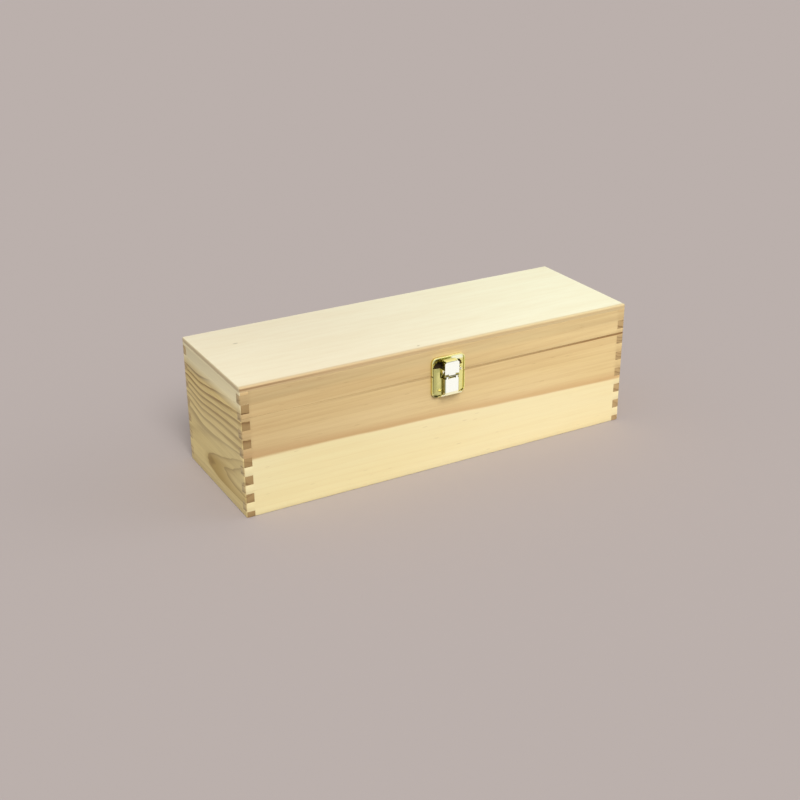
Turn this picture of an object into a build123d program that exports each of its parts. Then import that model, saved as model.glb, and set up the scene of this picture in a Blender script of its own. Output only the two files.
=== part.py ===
"""Wooden gift box for one bottle: finger-jointed pine, hinged lid, brass-plated catch.

Millimetres. The origin is the centre of the underside, X runs along the box, the front
looks towards -Y and Z is up. The box is drawn closed, with its catch fastened.
"""
import os

from build123d import *

os.makedirs("parts", exist_ok=True)

# ---------------------------------------------------------------- driving sizes
# Boards and panels
length = 360
width = 120
wall = 7
body_height = 84
lid_frame_height = 21.7
top_thickness = 4
bottom_thickness = 4
rebate = 3.5
panel_clearance = 0.1
seam_gap = 0.3
corner_round = 1.5
top_round = 1.2
seam_ease = 0.3
base_ease = 0.5

# Finger joints, cut in the whole board before the lid was sawn off
finger = 7.7
first_finger = 4.95
saw_kerf = 1.9

# Nails
nail_head_height = 0.4
nail_length = 6
catch_nail_shank = 0.5
catch_nail_head = 0.95
hinge_nail_shank = 0.7
hinge_nail_head = 1.3

# Hinges, on the outside of the back
hinge_spread = 220
hinge_length = 24
leaf_height = 13
leaf_thickness = 0.8
knuckle_radius = 1.5
knuckle_standoff = 0.3
knuckle_gap = 0.2
hinge_pin_radius = 0.75
hinge_nail_spread = 16
hinge_nail_drop = 8.5

# Catch: the two plates
plate = 0.8
catch_width = 31
catch_corner = 4.5
rim_height = 2.5
base_drop = 19
keeper_rise = 15.3
plate_gap = 0.4
base_nail_spread = 22
base_nail_drop = 12
keeper_nail_spread = 4.8
keeper_nail_rise = 6.5
window_inner = 4.4
window_outer = 13.2
window_low = 4
window_high = 10.5
window_arch = 4
window_corner = 0.8
pocket_depth = 4
ledge_width = 8.4
ledge_reach = 3.4
ledge_height = 1.3
ledge_round = 0.5

# Catch: the lever, the hook plate and their pivots
front_out = 8
panel_width = 13.4
hook_high = 13
hook_round = 1
foot_width = 11
foot_reach = 4.6
foot_clearance = 0.3
pivot_up = 5
pivot_out = 6.9
link_knuckle = 1.1
link_radius = 0.5
link_gap = 0.2
hook_knuckle = 6.6
link_neck = 2
rivet_radius = 0.6
running_fit = 0.05
cheek_inner = 7.9
cheek_height = 3.4
cheek_reach = 1
wing_inner = 7.2
wing_inner_out = 3.1
wing_outer = 13.95
wing_outer_out = 1.7
horn_high = 6.6
lever_low = -16.3
lip_width = 19.4
lip_radius = 0.8
lip_set_back = 0.1
ear_inner = 7
ear_thickness = 0.7
ear_round = 1.1
ear_foot = 9
ear_low_out = 2.2
ear_bend = 1.6

# ---------------------------------------------------------------- worked out
lid_low = body_height + seam_gap
frame_high = lid_low + lid_frame_height
height = frame_high + top_thickness
seam = body_height + seam_gap / 2
front_face = -width / 2
back_face = width / 2
hinge_axis_out = knuckle_standoff + knuckle_radius
knuckle_length = (hinge_length - 2 * knuckle_gap) / 3
notch = knuckle_radius + knuckle_standoff
ledge_high = hook_high - plate - foot_clearance
rivet_length = cheek_inner + plate - ear_inner
horn_inner = cheek_inner + plate / 2
horn_share = (wing_outer - horn_inner) / (wing_outer - wing_inner)
horn_inner_out = wing_outer_out + (wing_inner_out - wing_outer_out) * horn_share

# Working planes of the catch: x along the box or outwards, y up or outwards
front = Plane(origin=(0, front_face, seam), x_dir=(1, 0, 0), z_dir=(0, -1, 0))
across = Plane(origin=(0, front_face, seam), x_dir=(0, -1, 0), z_dir=(-1, 0, 0))
back = Plane(origin=(0, back_face, seam), x_dir=(-1, 0, 0), z_dir=(0, 1, 0))
back_across = Plane(origin=(0, back_face, seam), x_dir=(0, 1, 0), z_dir=(1, 0, 0))


def from_above(level):
    """Plan view of the catch at a height above the seam: x along, y outwards, pulled down."""
    return Plane(origin=(0, front_face, seam + level), x_dir=(1, 0, 0), z_dir=(0, 0, -1))


def finger_spans(first, low, high):
    """Heights of every other corner finger between two levels, clipped to them."""
    bottom = first
    while bottom > low:
        bottom -= 2 * finger
    spans = []
    while bottom < high:
        span = (max(bottom, low), min(bottom + finger, high))
        if span[1] > span[0]:
            spans.append(span)
        bottom += 2 * finger
    return spans


def board(size, centre, posts, spans, low, high, envelope):
    """One upright board with a finger in each of its corner posts at each span."""
    with BuildPart() as blank:
        with BuildSketch(Plane.XY.offset(low)):
            with Locations(centre):
                Rectangle(*size)
        extrude(amount=high - low)
        for bottom, top in spans:
            with BuildSketch(Plane.XY.offset(bottom)):
                with Locations(*posts):
                    Rectangle(wall, wall)
            extrude(amount=top - bottom)
        add(envelope, mode=Mode.INTERSECT)
    return blank.part


def side_board(side, low, high, dropped, envelope):
    """Front (-1) or back (1) board, whose fingers start above the first one."""
    y = side * (width - wall) / 2
    posts = [(x, y) for x in ((wall - length) / 2, (length - wall) / 2)]
    spans = finger_spans(first_finger - dropped, low, high)
    return board((length - 2 * wall, wall), (0, y), posts, spans, low, high, envelope)


def end_board(side, low, high, dropped, envelope):
    """Left (-1) or right (1) board, whose lowest finger is cut short by the base."""
    x = side * (length - wall) / 2
    posts = [(x, y) for y in ((wall - width) / 2, (width - wall) / 2)]
    spans = finger_spans(first_finger - finger - dropped, low, high)
    return board((wall, width - 2 * wall), (x, 0), posts, spans, low, high, envelope)


def nails(plane, spots, head, shank, reach):
    """Nails driven in square to a plane, their heads standing on it."""
    with BuildPart() as group:
        with BuildSketch(plane):
            with Locations(*spots):
                Circle(head)
        extrude(amount=nail_head_height)
        fillet(group.faces().filter_by(plane).group_by(Axis((0, 0, 0), plane.z_dir))[-1].edges(),
               nail_head_height / 2)
        with BuildSketch(plane):
            with Locations(*spots):
                Circle(shank)
        extrude(amount=-reach)
    return group.part


# ---------------------------------------------------------------- wooden body
with BuildPart() as body_envelope:
    with BuildSketch():
        RectangleRounded(length, width, corner_round)
    extrude(amount=body_height)
    chamfer(body_envelope.faces().sort_by(Axis.Z)[-1].edges(), seam_ease)
    chamfer(body_envelope.faces().sort_by(Axis.Z)[0].edges(), base_ease)

with BuildPart() as bottom_rebate:
    with BuildSketch():
        Rectangle(length - 2 * wall + 2 * rebate, width - 2 * wall + 2 * rebate)
    extrude(amount=bottom_thickness)

base_nail_spots = [(x, -base_nail_drop) for x in (-base_nail_spread / 2, base_nail_spread / 2)]
keeper_nail_spots = [(x, keeper_nail_rise) for x in (-keeper_nail_spread / 2, keeper_nail_spread / 2)]
hinge_nail_spots = [(hinge_x + nail_x, hinge_nail_drop)
                    for hinge_x in (-hinge_spread / 2, hinge_spread / 2)
                    for nail_x in (-hinge_nail_spread / 2, hinge_nail_spread / 2)]
body_leaf_nail_spots = [(x, -drop) for x, drop in hinge_nail_spots]
lid_leaf_nail_spots = hinge_nail_spots

with BuildPart() as body_front_wall:
    add(side_board(-1, 0, body_height, 0, body_envelope.part))
    add(bottom_rebate.part, mode=Mode.SUBTRACT)
    with BuildSketch(front):
        with Locations(*base_nail_spots):
            Circle(catch_nail_shank)
    extrude(amount=plate - nail_length, mode=Mode.SUBTRACT)

with BuildPart() as body_back_wall:
    add(side_board(1, 0, body_height, 0, body_envelope.part))
    add(bottom_rebate.part, mode=Mode.SUBTRACT)
    with BuildSketch(back):
        with Locations(*body_leaf_nail_spots):
            Circle(hinge_nail_shank)
    extrude(amount=leaf_thickness - nail_length, mode=Mode.SUBTRACT)

with BuildPart() as body_left_wall:
    add(end_board(-1, 0, body_height, 0, body_envelope.part))
    add(bottom_rebate.part, mode=Mode.SUBTRACT)

with BuildPart() as body_right_wall:
    add(end_board(1, 0, body_height, 0, body_envelope.part))
    add(bottom_rebate.part, mode=Mode.SUBTRACT)

with BuildPart() as bottom_panel:
    with BuildSketch():
        Rectangle(length - 2 * wall + 2 * rebate - 2 * panel_clearance,
                  width - 2 * wall + 2 * rebate - 2 * panel_clearance)
    extrude(amount=bottom_thickness)

# ---------------------------------------------------------------- wooden lid
with BuildPart() as lid_envelope:
    with BuildSketch(Plane.XY.offset(lid_low)):
        RectangleRounded(length, width, corner_round)
    extrude(amount=height - lid_low)
    chamfer(lid_envelope.faces().sort_by(Axis.Z)[0].edges(), seam_ease)
    fillet(lid_envelope.faces().sort_by(Axis.Z)[-1].edges(), top_round)

lid_drop = saw_kerf - seam_gap

with BuildPart() as lid_front_rail:
    add(side_board(-1, lid_low, frame_high, lid_drop, lid_envelope.part))
    with BuildSketch(front):
        with Locations((0, (window_low + window_high) / 2)):
            Rectangle(2 * window_outer, window_high - window_low)
    extrude(amount=-pocket_depth, mode=Mode.SUBTRACT)
    with BuildSketch(front):
        with Locations(*keeper_nail_spots):
            Circle(catch_nail_shank)
    extrude(amount=plate - nail_length, mode=Mode.SUBTRACT)

with BuildPart() as lid_back_rail:
    add(side_board(1, lid_low, frame_high, lid_drop, lid_envelope.part))
    with BuildSketch(back):
        with Locations(*lid_leaf_nail_spots):
            Circle(hinge_nail_shank)
    extrude(amount=leaf_thickness - nail_length, mode=Mode.SUBTRACT)

with BuildPart() as lid_left_rail:
    add(end_board(-1, lid_low, frame_high, lid_drop, lid_envelope.part))

with BuildPart() as lid_right_rail:
    add(end_board(1, lid_low, frame_high, lid_drop, lid_envelope.part))

with BuildPart() as lid_top_panel:
    with BuildSketch(Plane.XY.offset(frame_high)):
        Rectangle(length, width)
    extrude(amount=top_thickness)
    add(lid_envelope.part, mode=Mode.INTERSECT)


# ---------------------------------------------------------------- hinges
def hinge_leaf(hinge_x, side, knuckle_centres, pin_hole):
    """A leaf below (-1) or above (1) the hinge axis, cut back where the other leaf's knuckles turn."""
    with BuildPart() as leaf:
        with BuildSketch(back):
            with Locations((-hinge_x, side * (leaf_height + notch) / 2)):
                Rectangle(hinge_length, leaf_height - notch)
            with Locations(*[(-hinge_x - x, side * notch) for x in knuckle_centres]):
                Rectangle(knuckle_length, 2 * notch - knuckle_radius)
            for spot_x, spot_up in hinge_nail_spots:
                with Locations((spot_x, side * spot_up)):
                    Circle(hinge_nail_shank, mode=Mode.SUBTRACT)
        extrude(amount=leaf_thickness)
        for x in knuckle_centres:
            with BuildSketch(back_across.offset(hinge_x + x - knuckle_length / 2)):
                with Locations((hinge_axis_out, 0)):
                    Circle(knuckle_radius)
            extrude(amount=knuckle_length)
        with BuildSketch(back_across.offset(hinge_x)):
            with Locations((hinge_axis_out, 0)):
                Circle(pin_hole)
        extrude(amount=hinge_length, both=True, mode=Mode.SUBTRACT)
    return leaf.part


def hinge_pin(hinge_x):
    """The pin, as long as its hinge."""
    with BuildPart() as pin:
        with BuildSketch(back_across.offset(hinge_x)):
            with Locations((hinge_axis_out, 0)):
                Circle(hinge_pin_radius)
        extrude(amount=hinge_length / 2, both=True)
    return pin.part


outer_knuckles = [-knuckle_length - knuckle_gap, knuckle_length + knuckle_gap]
hinge_places = {"left": -hinge_spread / 2, "right": hinge_spread / 2}
hinge_parts = {}
for place, hinge_x in hinge_places.items():
    hinge_parts[f"hinge_{place}_body_leaf"] = hinge_leaf(hinge_x, -1, outer_knuckles, hinge_pin_radius)
    hinge_parts[f"hinge_{place}_lid_leaf"] = hinge_leaf(hinge_x, 1, [0], hinge_pin_radius + running_fit)
    hinge_parts[f"hinge_{place}_pin"] = hinge_pin(hinge_x)

# ---------------------------------------------------------------- catch, fixed pieces
def tray(side, reach, nail_spots):
    """A plate below (-1) or above (1) the seam, with a rim round it that is open at the seam."""
    with BuildPart() as pressed:
        with BuildSketch(front) as outline:
            with Locations((0, side * (reach + plate_gap) / 2)):
                Rectangle(catch_width, reach - plate_gap)
            fillet(outline.vertices().group_by(Axis.Y)[-1 if side > 0 else 0], catch_corner)
        extrude(amount=rim_height)
        with BuildSketch(front.offset(plate)) as hollow:
            with Locations((0, side * (reach - plate) / 2)):
                Rectangle(catch_width - 2 * plate, reach - plate)
            fillet(hollow.vertices().group_by(Axis.Y)[-1 if side > 0 else 0], catch_corner - plate)
        extrude(amount=rim_height, mode=Mode.SUBTRACT)
        with BuildSketch(front):
            with Locations(*nail_spots):
                Circle(catch_nail_shank)
        extrude(amount=plate, mode=Mode.SUBTRACT)
    return pressed.part


with BuildPart() as catch_base:
    add(tray(-1, base_drop, base_nail_spots))
    # Ears that stand up from the plate and carry the lever in front of the lid
    with BuildSketch(across.offset(ear_inner)):
        Polygon((plate / 2, -ear_foot), (ear_low_out, -ear_foot), (ear_low_out, -ear_bend),
                (pivot_out + ear_round, pivot_up), (pivot_out - ear_round, pivot_up),
                (plate + 3 * plate_gap / 2, plate_gap), (plate / 2, -2 * plate_gap), align=None)
        with Locations((pivot_out, pivot_up)):
            Circle(ear_round)
            Circle(rivet_radius, mode=Mode.SUBTRACT)
    extrude(amount=ear_thickness)
    mirror(about=Plane.YZ)

with BuildPart() as catch_keeper:
    add(tray(1, keeper_rise, keeper_nail_spots))
    # Arched windows either side of the tongue that the hook pulls on
    with BuildSketch(front) as window:
        with Locations(((window_inner + window_outer) / 2, (window_low + window_high) / 2)):
            Rectangle(window_outer - window_inner, window_high - window_low)
        fillet(window.vertices().group_by(Axis.Y)[-1].sort_by(Axis.X)[-1], window_arch)
        fillet(window.vertices().group_by(Axis.Y)[0], window_corner)
        mirror(about=Plane.YZ)
    extrude(amount=plate, mode=Mode.SUBTRACT)
    with BuildSketch(front):
        with Locations((0, ledge_high - ledge_height / 2)):
            Rectangle(ledge_width, ledge_height)
    extrude(amount=plate + ledge_reach)
    fillet(catch_keeper.faces().sort_by(Axis.Y)[0].edges().filter_by(Axis.X), ledge_round)

with BuildPart() as catch_pivot_rivets:
    with BuildSketch(across.offset(ear_inner)):
        with Locations((pivot_out, pivot_up)):
            Circle(rivet_radius)
    extrude(amount=rivet_length)
    mirror(about=Plane.YZ)

# ---------------------------------------------------------------- catch, moving pieces
with BuildPart() as catch_lever:
    # Pressed sheet: a raised box with a wing sloping away on each side
    with BuildSketch(from_above(-link_neck)):
        with BuildLine():
            Polyline((-wing_outer, wing_outer_out), (-wing_inner, wing_inner_out),
                     (-(panel_width - plate) / 2, front_out - plate / 2),
                     ((panel_width - plate) / 2, front_out - plate / 2),
                     (wing_inner, wing_inner_out), (wing_outer, wing_outer_out))
        trace(line_width=plate)
    extrude(amount=-link_neck - lever_low)
    # Horns: the wings run on past the seam, and a cheek on each takes the pivot
    with BuildSketch(from_above(horn_high)):
        with BuildLine():
            Line((horn_inner, horn_inner_out), (wing_outer, wing_outer_out))
        trace(line_width=plate)
        mirror(about=Plane.YZ)
    extrude(amount=horn_high - lever_low)
    with BuildSketch(from_above(horn_high)):
        with Locations((horn_inner, (horn_inner_out + pivot_out + cheek_reach) / 2)):
            Rectangle(plate, pivot_out + cheek_reach - horn_inner_out)
        mirror(about=Plane.YZ)
    extrude(amount=cheek_height)
    with BuildSketch(across):
        with Locations((pivot_out, pivot_up)):
            Circle(rivet_radius + running_fit)
    extrude(amount=catch_width / 2, both=True, mode=Mode.SUBTRACT)
    # Rolled finger lip along the lower edge
    with BuildSketch(across):
        with Locations((front_out - lip_set_back - lip_radius, lever_low + plate / 2)):
            Circle(lip_radius)
    extrude(amount=lip_width / 2, both=True)
    # Outer knuckles of the link
    with BuildSketch(across.offset(hook_knuckle / 2 + link_gap)):
        with Locations((pivot_out, 0)):
            Circle(link_knuckle)
        with Locations((front_out - plate / 2, -link_neck)):
            Rectangle(plate, 2 * link_neck)
        with Locations((pivot_out, 0)):
            Circle(link_radius, mode=Mode.SUBTRACT)
    extrude(amount=panel_width / 2 - hook_knuckle / 2 - link_gap)
    mirror(about=Plane.YZ)

with BuildPart() as catch_link_pin:
    with BuildSketch(across):
        with Locations((pivot_out, 0)):
            Circle(link_radius)
    extrude(amount=panel_width / 2, both=True)

with BuildPart() as catch_hook_plate:
    with BuildSketch(front.offset(front_out - plate)) as hook_outline:
        with Locations((0, (hook_high + link_neck) / 2)):
            Rectangle(panel_width, hook_high - link_neck)
        fillet(hook_outline.vertices().group_by(Axis.Y)[-1], hook_round)
        with Locations((0, link_neck / 2)):
            Rectangle(hook_knuckle, link_neck)
    extrude(amount=plate)
    with BuildSketch(front.offset(front_out - plate)):
        with Locations((0, hook_high - plate / 2)):
            Rectangle(foot_width, plate)
    extrude(amount=-foot_reach)
    with BuildSketch(across):
        with Locations((pivot_out, 0)):
            Circle(link_knuckle)
    extrude(amount=hook_knuckle / 2, both=True)
    with BuildSketch(across):
        with Locations((pivot_out, 0)):
            Circle(link_radius + running_fit)
    extrude(amount=hook_knuckle / 2, both=True, mode=Mode.SUBTRACT)

# ---------------------------------------------------------------- write the pieces
parts = {
    "body_front_wall": body_front_wall.part,
    "body_back_wall": body_back_wall.part,
    "body_left_wall": body_left_wall.part,
    "body_right_wall": body_right_wall.part,
    "bottom_panel": bottom_panel.part,
    "lid_front_rail": lid_front_rail.part,
    "lid_back_rail": lid_back_rail.part,
    "lid_left_rail": lid_left_rail.part,
    "lid_right_rail": lid_right_rail.part,
    "lid_top_panel": lid_top_panel.part,
    "hinge_body_nails": nails(back.offset(leaf_thickness), body_leaf_nail_spots,
                              hinge_nail_head, hinge_nail_shank, nail_length),
    "hinge_lid_nails": nails(back.offset(leaf_thickness), lid_leaf_nail_spots,
                             hinge_nail_head, hinge_nail_shank, nail_length),
    "catch_base": catch_base.part,
    "catch_keeper": catch_keeper.part,
    "catch_pivot_rivets": catch_pivot_rivets.part,
    "catch_lever": catch_lever.part,
    "catch_link_pin": catch_link_pin.part,
    "catch_hook_plate": catch_hook_plate.part,
    "catch_base_nails": nails(front.offset(plate), base_nail_spots,
                              catch_nail_head, catch_nail_shank, nail_length),
    "catch_keeper_nails": nails(front.offset(plate), keeper_nail_spots,
                                catch_nail_head, catch_nail_shank, nail_length),
    **hinge_parts,
}
for name, part in parts.items():
    part.label = name
    export_step(part, f"parts/{name}.step")
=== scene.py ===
"""A finger-jointed pine wine box with a hinged lid and a brass-plated toggle catch.

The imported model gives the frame. Pieces are modelled in millimetres and brought to metres
when they are finished. X runs along the box, the front looks towards -Y, Z is up.
"""
import math

import bmesh
import bpy
from mathutils import Euler, Matrix, Vector


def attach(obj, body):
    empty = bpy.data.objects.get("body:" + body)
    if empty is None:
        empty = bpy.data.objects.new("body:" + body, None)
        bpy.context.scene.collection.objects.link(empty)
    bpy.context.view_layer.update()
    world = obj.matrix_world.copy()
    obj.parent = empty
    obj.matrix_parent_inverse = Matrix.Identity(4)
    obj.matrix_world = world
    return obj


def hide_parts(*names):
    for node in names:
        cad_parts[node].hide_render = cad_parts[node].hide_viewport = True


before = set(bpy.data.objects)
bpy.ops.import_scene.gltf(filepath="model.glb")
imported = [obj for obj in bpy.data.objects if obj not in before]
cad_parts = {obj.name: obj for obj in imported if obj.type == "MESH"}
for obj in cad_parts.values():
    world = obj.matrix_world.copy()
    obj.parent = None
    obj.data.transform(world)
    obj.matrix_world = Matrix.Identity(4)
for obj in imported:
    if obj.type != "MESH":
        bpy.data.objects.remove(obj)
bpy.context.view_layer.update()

MM = 0.001

# ---------------------------------------------------------------- sizes in millimetres
LENGTH, WIDTH = 360, 120
WALL = 7
BODY_TOP = 84
LID_LOW, FRAME_TOP, TOP = 84.3, 106, 110
SEAM = 84.15
FINGER, FIRST_FINGER, LID_DROP = 7.7, 4.95, 1.6
REBATE, PANEL = 3.5, 4
CORNER_ROUND = 1.5
FRONT, BACK = -WIDTH / 2, WIDTH / 2
PLATE = 0.8
WINDOW_INNER, WINDOW_OUTER, WINDOW_LOW, WINDOW_HIGH = 4.4, 13.2, 4, 10.5
POCKET_DEPTH = 4
EASE = 0.14                          # taken off every sharp edge of the boards and the trays
HINGE_PLACE = 110                    # the hinges stand this far from the middle


# ---------------------------------------------------------------- modelling by hand
def unselect():
    bpy.ops.object.select_all(action="DESELECT")


def hold(ob):
    """Makes one object the only selected one, and the active one."""
    unselect()
    ob.select_set(True)
    bpy.context.view_layer.objects.active = ob


def near(value, target, slack=0.02):
    return abs(value - target) < slack


class Piece:
    """A primitive on the bench, shaped in edit mode; the next step works on what is picked."""

    def __init__(self, name, kind="cube", **place):
        unselect()
        getattr(bpy.ops.mesh, f"primitive_{kind}_add")(**place)
        self.start(name, bpy.context.object)

    def start(self, name, ob):
        self.ob = ob
        ob.name = name
        bpy.ops.object.transform_apply(location=True, rotation=True, scale=True)
        bpy.ops.object.mode_set(mode="EDIT")

    def pick(self, kind, test):
        """Selects the vertices, edges or faces for which test is true."""
        bpy.ops.mesh.select_all(action="DESELECT")
        bpy.ops.mesh.select_mode(type=kind)
        bm = bmesh.from_edit_mesh(self.ob.data)
        if kind == "VERT":
            for v in bm.verts:
                v.select_set(test(v.co))
        elif kind == "EDGE":
            for e in bm.edges:
                e.select_set(test(e.verts[0].co, e.verts[1].co))
        else:
            for f in bm.faces:
                f.select_set(test(f.calc_center_median(), f.normal))
        bm.select_flush_mode()
        bmesh.update_edit_mesh(self.ob.data)
        return self

    def edges(self, test, pair=lambda a, b: True):
        """Selects the edges both of whose ends pass the test, and which pass pair as a whole."""
        return self.pick("EDGE", lambda a, b: test(a) and test(b) and pair(a, b))

    def cut(self, place, normal):
        bpy.ops.mesh.select_all(action="SELECT")
        bpy.ops.mesh.bisect(plane_co=place, plane_no=normal)
        return self

    def upright_cuts(self, *distances):
        """Cuts on both sides of the middle, from left to right."""
        for x in [-x for x in distances] + [*reversed(distances)]:
            self.cut((x, 0, 0), (1, 0, 0))
        return self

    def extrude(self, move):
        bpy.ops.mesh.extrude_region_move(TRANSFORM_OT_translate={"value": move})
        return self

    def move(self, move):
        bpy.ops.transform.translate(value=move)
        return self

    def stretch(self, value, centre):
        bpy.ops.transform.resize(value=value, center_override=centre)
        return self

    def round(self, width, segments):
        bpy.ops.mesh.bevel(offset=width, segments=segments, affect="EDGES")
        return self

    def modify(self, kind, **settings):
        bpy.ops.object.mode_set(mode="OBJECT")
        modifier = self.ob.modifiers.new(kind.title(), kind)
        for key, value in settings.items():
            setattr(modifier, key, value)
        bpy.ops.object.modifier_apply(modifier=modifier.name)
        bpy.ops.object.mode_set(mode="EDIT")
        return self

    def ease(self, width, segments=2, angle=50):
        """Takes the sharpness off every edge that turns by more than the angle."""
        return self.modify("BEVEL", width=width, segments=segments, limit_method="ANGLE",
                           angle_limit=math.radians(angle), use_clamp_overlap=True,
                           miter_outer="MITER_ARC", harden_normals=False)

    def soften_corners(self, radius, test):
        """Rounds the corners of a flat sheet before it gets its thickness."""
        self.pick("VERT", test)
        bpy.ops.mesh.bevel(offset=radius, segments=4, affect="VERTICES")
        return self

    def rest(self):
        """Leaves edit mode, so that the next shape can be begun."""
        bpy.ops.object.mode_set(mode="OBJECT")
        return self

    def subtract(self, cutter):
        """Cuts another shape out of this one and throws the cutter away."""
        cutter.rest()
        hold(self.ob)
        bpy.ops.object.mode_set(mode="EDIT")
        self.modify("BOOLEAN", operation="DIFFERENCE", object=cutter.ob, solver="EXACT")
        bpy.data.objects.remove(cutter.ob)
        return self

    def outward(self):
        """Merges what coincides and turns the faces outwards."""
        bpy.ops.mesh.select_all(action="SELECT")
        bpy.ops.mesh.remove_doubles(threshold=0.0005)
        bpy.ops.mesh.normals_make_consistent(inside=False)
        return self

    def copied(self, name, move):
        """A second piece of this shape, moved away from it."""
        hold(self.ob)
        bpy.ops.object.duplicate()
        copy = Piece.__new__(Piece)
        bpy.ops.transform.translate(value=move)
        copy.start(name, bpy.context.object)
        return copy.rest()

    def done(self, material, body, slot, replaced=()):
        """To metres, smoothed, painted, and onto its body."""
        bpy.ops.object.mode_set(mode="OBJECT")
        self.ob.scale = (MM, MM, MM)
        hold(self.ob)
        bpy.ops.object.transform_apply(location=True, rotation=True, scale=True)
        bpy.ops.object.shade_smooth_by_angle(angle=math.radians(30))
        self.ob.data.materials.clear()
        self.ob.data.materials.append(material)
        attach(self.ob, body)
        if replaced:
            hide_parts(*replaced)
        return self.ob


def join(pieces, name):
    """Joins shapes that are at rest into one piece."""
    hold(pieces[0].ob)
    for piece in pieces:
        piece.ob.select_set(True)
    bpy.ops.object.join()
    pieces[0].ob.name = name
    bpy.ops.object.mode_set(mode="EDIT")
    return pieces[0]


def block(name, low, high):
    """A box between two corners."""
    centre = [(a + b) / 2 for a, b in zip(low, high)]
    return Piece(name, size=1, location=centre, scale=[b - a for a, b in zip(low, high)])


def rod(name, radius, ends, axis, vertices=24):
    """A round bar between two points along one axis."""
    centre = [(a + b) / 2 for a, b in zip(*ends)]
    turn = {"x": (0, math.pi / 2, 0), "y": (math.pi / 2, 0, 0)}[axis]
    return Piece(name, "cylinder", vertices=vertices, radius=radius,
                 depth=math.dist(*ends), location=centre, rotation=turn)


def cross_bar(name, radius, reach, out, up, vertices=24):
    """A round bar across the catch, from one x to another."""
    ends = [(x, FRONT - out, SEAM + up) for x in reach]
    return rod(name, radius, ends, "x", vertices)


def cutout(name, outline, depth):
    """A flat piece cut to an outline of points and given a thickness."""
    piece = Piece(name, "circle", vertices=len(outline), radius=1, fill_type="NGON")
    mesh = bmesh.from_edit_mesh(piece.ob.data)
    mesh.verts.ensure_lookup_table()
    for vertex, point in zip(mesh.verts, outline):
        vertex.co = point
    bmesh.update_edit_mesh(piece.ob.data)
    bpy.ops.mesh.select_all(action="SELECT")
    return piece.extrude(depth).outward()


def sheet(name, low, high, y):
    """A flat upright sheet between two corners (x, height from the seam)."""
    centre = ((low[0] + high[0]) / 2, y, SEAM + (low[1] + high[1]) / 2)
    piece = Piece(name, "plane", size=1, location=centre, rotation=(math.pi / 2, 0, 0))
    return piece.stretch((high[0] - low[0], 1, high[1] - low[1]), centre)


# ---------------------------------------------------------------- shader arithmetic
class Field:
    """A number over a surface. Arithmetic on it adds Math nodes."""

    def __init__(self, paint, socket):
        self.paint, self.socket = paint, socket

    def maths(self, operation, *values):
        return self.paint.node("Math", {"operation": operation}, values)

    def __add__(self, other): return self.maths("ADD", self, other)
    def __radd__(self, other): return self.maths("ADD", other, self)
    def __sub__(self, other): return self.maths("SUBTRACT", self, other)
    def __rsub__(self, other): return self.maths("SUBTRACT", other, self)
    def __mul__(self, other): return self.maths("MULTIPLY", self, other)
    def __rmul__(self, other): return self.maths("MULTIPLY", other, self)
    def __truediv__(self, other): return self.maths("DIVIDE", self, other)
    def __pow__(self, other): return self.maths("POWER", self, other)
    def __abs__(self): return self.maths("ABSOLUTE", self)
    def fraction(self): return self.maths("FRACT", self)
    def root(self): return self.maths("SQRT", self)
    def least(self, other): return self.maths("MINIMUM", self, other)
    def most(self, other): return self.maths("MAXIMUM", self, other)

    def rise(self, low, high):
        """0 below low, 1 above high, smooth between; the other way round if high is lower."""
        if low <= high:
            return self.paint.node("MapRange", {"interpolation_type": "SMOOTHSTEP"},
                                   {0: self, 1: low, 2: high})
        return 1 - self.rise(high, low)


class Paint:
    """A finish: one material whose nodes are written as expressions."""

    def __init__(self, name):
        self.material = bpy.data.materials.new(name)
        self.material.use_nodes = True
        self.tree = self.material.node_tree
        self.tree.nodes.clear()
        self.shader = self.tree.nodes.new("ShaderNodeBsdfPrincipled")
        output = self.tree.nodes.new("ShaderNodeOutputMaterial")
        self.tree.links.new(self.shader.outputs[0], output.inputs[0])
        place = self.tree.nodes.new("ShaderNodeTexCoord")
        self.place, self.facing = place.outputs["Object"], place.outputs["Normal"]

    def feed(self, socket, value):
        value = getattr(value, "socket", value)
        if isinstance(value, bpy.types.NodeSocket):
            self.tree.links.new(value, socket)
        elif socket.type == "RGBA":
            socket.default_value = (*value, 1)[:4]
        else:
            socket.default_value = value

    def node(self, kind, settings=None, values=(), out=0):
        """Any other node: its settings first, then its sockets by place or by name."""
        node = self.tree.nodes.new("ShaderNode" + kind)
        for key, value in (settings or {}).items():
            setattr(node, key, value)
        for key, value in (values.items() if isinstance(values, dict) else enumerate(values)):
            self.feed(node.inputs[key], value)
        return Field(self, node.outputs[out])

    def split(self, vector):
        return [self.node("SeparateXYZ", None, (vector,), out) for out in range(3)]

    def stretched(self, vector, factors, shift=(0, 0, 0)):
        """A place multiplied along each axis, then moved."""
        return self.node("VectorMath", {"operation": "MULTIPLY_ADD"}, (vector, factors, shift))

    def millimetres(self):
        return self.node("VectorMath", {"operation": "SCALE"}, {0: self.place, "Scale": 1 / MM})

    def noise(self, vector, scale, detail, rough):
        return self.node("TexNoise", None, {"Vector": vector, "Scale": scale, "Detail": detail,
                                            "Roughness": rough})

    def blend(self, share, first, second, kind="MIX"):
        """From the first colour to the second, by a share between 0 and 1."""
        return self.node("Mix", {"data_type": "RGBA", "blend_type": kind, "clamp_factor": True},
                         {0: share, 6: first, 7: second}, 2)

    def bump(self, height, distance, strength):
        return self.node("Bump", None,
                         {"Strength": strength, "Distance": distance, "Height": height})

    def set(self, **sockets):
        """Sockets of the shader, written with _ for a space."""
        for key, value in sockets.items():
            self.feed(self.shader.inputs[key.replace("_", " ")], value)
        return self.material


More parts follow.
